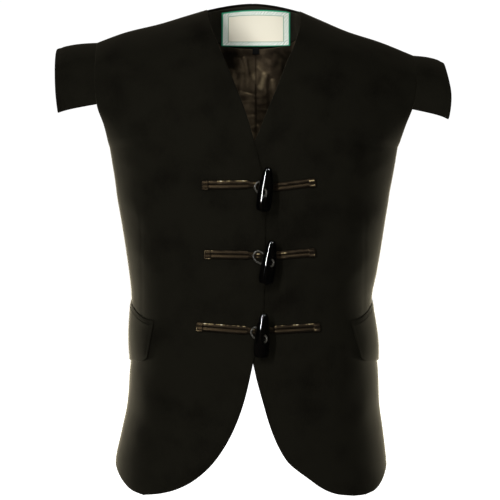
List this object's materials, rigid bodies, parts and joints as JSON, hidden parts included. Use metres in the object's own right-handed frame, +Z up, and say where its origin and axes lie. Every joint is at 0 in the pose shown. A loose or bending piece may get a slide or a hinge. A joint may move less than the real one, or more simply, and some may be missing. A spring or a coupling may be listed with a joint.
{
  "type": "waistcoat",
  "caption": "Sleeveless historic-style wool waistcoat, filled out and hollow, with shoulder wings, pocket flaps, cutaway tails and horn toggles on leather straps.",
  "frame": {"origin": "midway between the side neck points, on the shoulder line, where the wearer's shoulders hold the garment", "axes": "+Z up the garment's length, -Y out of the front, +X to the wearer's left"},
  "size_m": [0.5872, 0.264, 0.7331],
  "materials": {
    "wool": "matte napped wool",
    "satin_lining": "soft satin",
    "label_cloth": "woven label",
    "tape": "woven tape",
    "strap_leather": "glossy",
    "horn": "polished horn",
    "cord": "waxed cord"
  },
  "bodies": {
    "root": {"front_right": "wool", "front_left": "wool", "back": "wool", "back_lining": "satin_lining", "neck_facing": "wool", "neck_label": "label_cloth", "size_tab": "tape", "wing_right": "wool", "wing_left": "wool", "pocket_flap_right": "wool", "pocket_flap_left": "wool", "pocket_jet_right": "wool", "pocket_jet_left": "wool", "strap_right_1": "strap_leather", "strap_right_2": "strap_leather", "strap_right_3": "strap_leather", "strap_left_1": "strap_leather", "strap_left_2": "strap_leather", "strap_left_3": "strap_leather", "toggle_1": "horn", "toggle_2": "horn", "toggle_3": "horn", "toggle_cord_1": "cord", "toggle_cord_2": "cord", "toggle_cord_3": "cord"}
  },
  "joints": []
}
